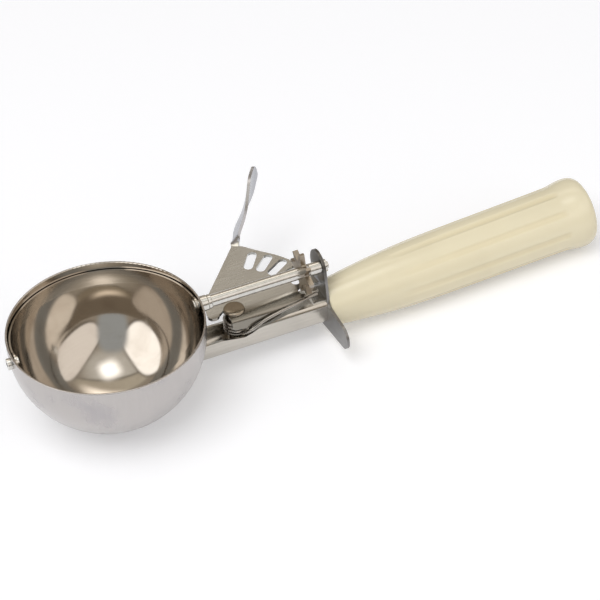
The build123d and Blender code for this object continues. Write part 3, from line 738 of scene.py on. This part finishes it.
def make_world():
    """White background for everything seen directly, plain soft light for the rest."""
    world = bpy.data.worlds.new("Studio")
    bpy.context.scene.world = world
    world.use_nodes = True
    tree = world.node_tree
    tree.nodes.clear()
    soft = put(tree, "ShaderNodeBackground", Color=(1.0, 0.99, 0.98, 1.0), Strength=WORLD_LIGHT)
    white = put(tree, "ShaderNodeBackground", Color=(1.0, 1.0, 1.0, 1.0), Strength=1.0)
    both = put(tree, "ShaderNodeMixShader", i0=seen_directly(tree), i1=soft.outputs[0], i2=white.outputs[0])
    end = tree.nodes.new("ShaderNodeOutputWorld")
    tree.links.new(both.outputs[0], end.inputs["Surface"])


def make_floor(settings):
    """Pale floor under the bowl and the flared grip end."""
    points = [(x * FLOOR_HALF, y * FLOOR_HALF, 0) for x, y in ((-1, -1), (1, -1), (1, 1), (-1, 1))]
    material = bpy.data.materials.new("Floor paint")
    material.use_nodes = True
    tree = material.node_tree
    tree.nodes.clear()
    paint = put(tree, "ShaderNodeBsdfDiffuse", Color=(*settings.floor, 1.0))
    lift = math_node(tree, "MULTIPLY", seen_directly(tree), FLOOR_GLOW)
    glow = put(tree, "ShaderNodeEmission", Color=(1.0, 1.0, 1.0, 1.0), Strength=lift)
    above = put(tree, "ShaderNodeAddShader", i0=paint.outputs[0], i1=glow.outputs[0])
    under = tree.nodes.new("ShaderNodeBsdfTransparent")
    side = tree.nodes.new("ShaderNodeNewGeometry").outputs["Backfacing"]
    both = put(tree, "ShaderNodeMixShader", i0=side, i1=above.outputs[0], i2=under.outputs[0])
    end = tree.nodes.new("ShaderNodeOutputMaterial")
    tree.links.new(both.outputs[0], end.inputs["Surface"])
    floor = add_piece("floor", points, [(0, 1, 2, 3)], material)
    floor.matrix_world = Matrix.Translation(FLOOR_POINT) @ Matrix.Rotation(-FLOOR_LEAN, 4, "Y")


# Lit parts of the mirrored room: way (azimuth, elevation), half width, half height, softness, colour
ROOM_LIGHTS = [
    ((0, 90), 0.55, 0.55, 0.5, (0.86, 0.84, 0.78)),
    ((-112, 5), 2.20, 0.14, 0.4, (0.17, 0.15, 0.125)),
    ((68, 3), 2.20, 0.10, 0.4, (0.20, 0.18, 0.15)),
    ((75, 71), 0.84, 0.19, 0.12, (0.26, 0.235, 0.20)),
    ((75, 70), 0.84, 0.16, 0.25, (0.68, 0.62, 0.51)),
    ((-44, 41), 0.93, 0.35, 0.10, (0.20, 0.17, 0.135)),
    ((-44, 42), 0.88, 0.30, 0.08, (1.22, 1.15, 1.08)),
    ((-178, 41), 0.71, 0.46, 0.10, (0.18, 0.15, 0.12)),
    ((-178, 42), 0.64, 0.40, 0.08, (1.95, 1.92, 1.88)),
    ((-115, 38), 0.33, 0.50, 0.25, (0.49, 0.52, 0.54)),
    ((60, 58), 0.34, 0.10, 0.8, (2.3, 2.15, 1.95)),
    ((-85, 86), 0.16, 0.16, 0.9, (3.4, 3.45, 3.5)),
]


def toward(azimuth, elevation):
    """Unit vector for an azimuth from +X and an elevation, in degrees."""
    a, e = math.radians(azimuth), math.radians(elevation)
    return Vector((math.cos(a) * math.cos(e), math.sin(a) * math.cos(e), math.sin(e)))


def make_room(settings):
    """Dome that only reflections see: a warm room with a window, a pale wall and a lit ceiling."""
    sides, rings = 64, 24
    points = []
    for ring in range(rings + 1):
        rise = math.pi / 2 * ring / rings * 0.999
        for side in range(sides):
            turn = 2 * math.pi * side / sides
            way = Vector((math.cos(rise) * math.cos(turn), math.cos(rise) * math.sin(turn), math.sin(rise)))
            points.append(way * ROOM_RADIUS)
    material = bpy.data.materials.new("Room walls")
    material.use_nodes = True
    tree = material.node_tree
    tree.nodes.clear()
    place = tree.nodes.new("ShaderNodeTexCoord").outputs["Object"]
    look = vector_node(tree, "NORMALIZE", place).outputs[0]
    colour = (*settings.room, 1.0)
    for way, width, height, soft, shade in ROOM_LIGHTS:
        ahead = toward(*way)
        across = toward(way[0] + 90, 0)
        above = ahead.cross(across)
        mask = grouped(tree, "Lit Patch", Look=look, Ahead=tuple(ahead), Across=tuple(across / width),
                       Above=tuple(above / height), Soft=soft).outputs["Mask"]
        colour = blend_colours(tree, mask, colour, (*shade, 1.0))
    glow = put(tree, "ShaderNodeEmission", Color=colour, Strength=1.0)
    end = tree.nodes.new("ShaderNodeOutputMaterial")
    tree.links.new(glow.outputs[0], end.inputs["Surface"])
    room = add_piece("room", points, ring_faces(rings + 1, sides)[:-2], material)
    room.visible_camera = False
    room.visible_diffuse = False
    room.visible_shadow = False


def make_lamps(settings):
    """Large soft lamp overhead and a weaker one in front, both unseen in reflections."""
    for name, way, power, size in (("key_lamp", toward(-150, 62), settings.key, 1.1),
                                   ("fill_lamp", toward(-60, 30), settings.fill, 1.3)):
        data = bpy.data.lights.new(name, "AREA")
        data.energy = power
        data.size = size
        lamp = bpy.data.objects.new(name, data)
        bpy.context.scene.collection.objects.link(lamp)
        lamp.location = LAMP_AIM + way * LAMP_DISTANCE
        lamp.rotation_mode = "QUATERNION"
        lamp.rotation_quaternion = way.to_track_quat("Z", "Y")
        lamp.visible_glossy = False


CAMERA_PLACE = Vector((-0.13715, -0.50970, 0.46084))
CAMERA_RIGHT = Vector((0.913040, -0.406437, -0.034161))
CAMERA_UP = Vector((0.289951, 0.587885, 0.755195))
CAMERA_BACK = Vector((-0.286857, -0.699429, 0.654609))
CAMERA_SENSOR, CAMERA_LENS = 36.0, 123.02


def make_camera():
    """Camera above the bowl's front, looking down along the tool."""
    data = bpy.data.cameras.new("camera")
    data.sensor_width = CAMERA_SENSOR
    data.lens = CAMERA_LENS
    camera = bpy.data.objects.new("camera", data)
    bpy.context.scene.collection.objects.link(camera)
    turn = Matrix((CAMERA_RIGHT, CAMERA_UP, CAMERA_BACK)).transposed().to_4x4()
    camera.matrix_world = Matrix.Translation(CAMERA_PLACE) @ turn
    bpy.context.scene.camera = camera


# ---------------------------------------------------------------- panel and registration

STEPS = (DISHER_OT_finishes, DISHER_OT_bowl, DISHER_OT_shaft, DISHER_OT_lever, DISHER_OT_shank,
         DISHER_OT_grip, DISHER_OT_spring, DISHER_OT_stage)
GROUPS = {"disher_metal": DISHER_PG_metal, "disher_grip": DISHER_PG_grip, "disher_spring": DISHER_PG_spring,
          "disher_stage": DISHER_PG_stage}


class DISHER_PT_sidebar(Panel):
    """Lists the steps and the settings"""
    bl_idname = "DISHER_PT_sidebar"
    bl_label = "Disher"
    bl_space_type = "VIEW_3D"
    bl_region_type = "UI"
    bl_category = "Disher"

    def draw(self, context):
        for step in STEPS:
            self.layout.operator(step.bl_idname)
        for name in GROUPS:
            box = self.layout.box()
            group = getattr(context.scene, name)
            for prop in type(group).__annotations__:
                box.prop(group, prop)


def register():
    """Register every class and hang the settings on the scene."""
    for item in (*GROUPS.values(), *STEPS, DISHER_PT_sidebar):
        register_class(item)
    for name, group in GROUPS.items():
        setattr(bpy.types.Scene, name, PointerProperty(type=group))


def unregister():
    """Undo register()."""
    for name in GROUPS:
        delattr(bpy.types.Scene, name)
    for item in (DISHER_PT_sidebar, *reversed(STEPS), *reversed(GROUPS.values())):
        unregister_class(item)


def main():
    """Run every step in order."""
    register()
    for step in STEPS:
        family, action = step.bl_idname.split(".")
        getattr(getattr(bpy.ops, family), action)()


if __name__ == "__main__":
    main()
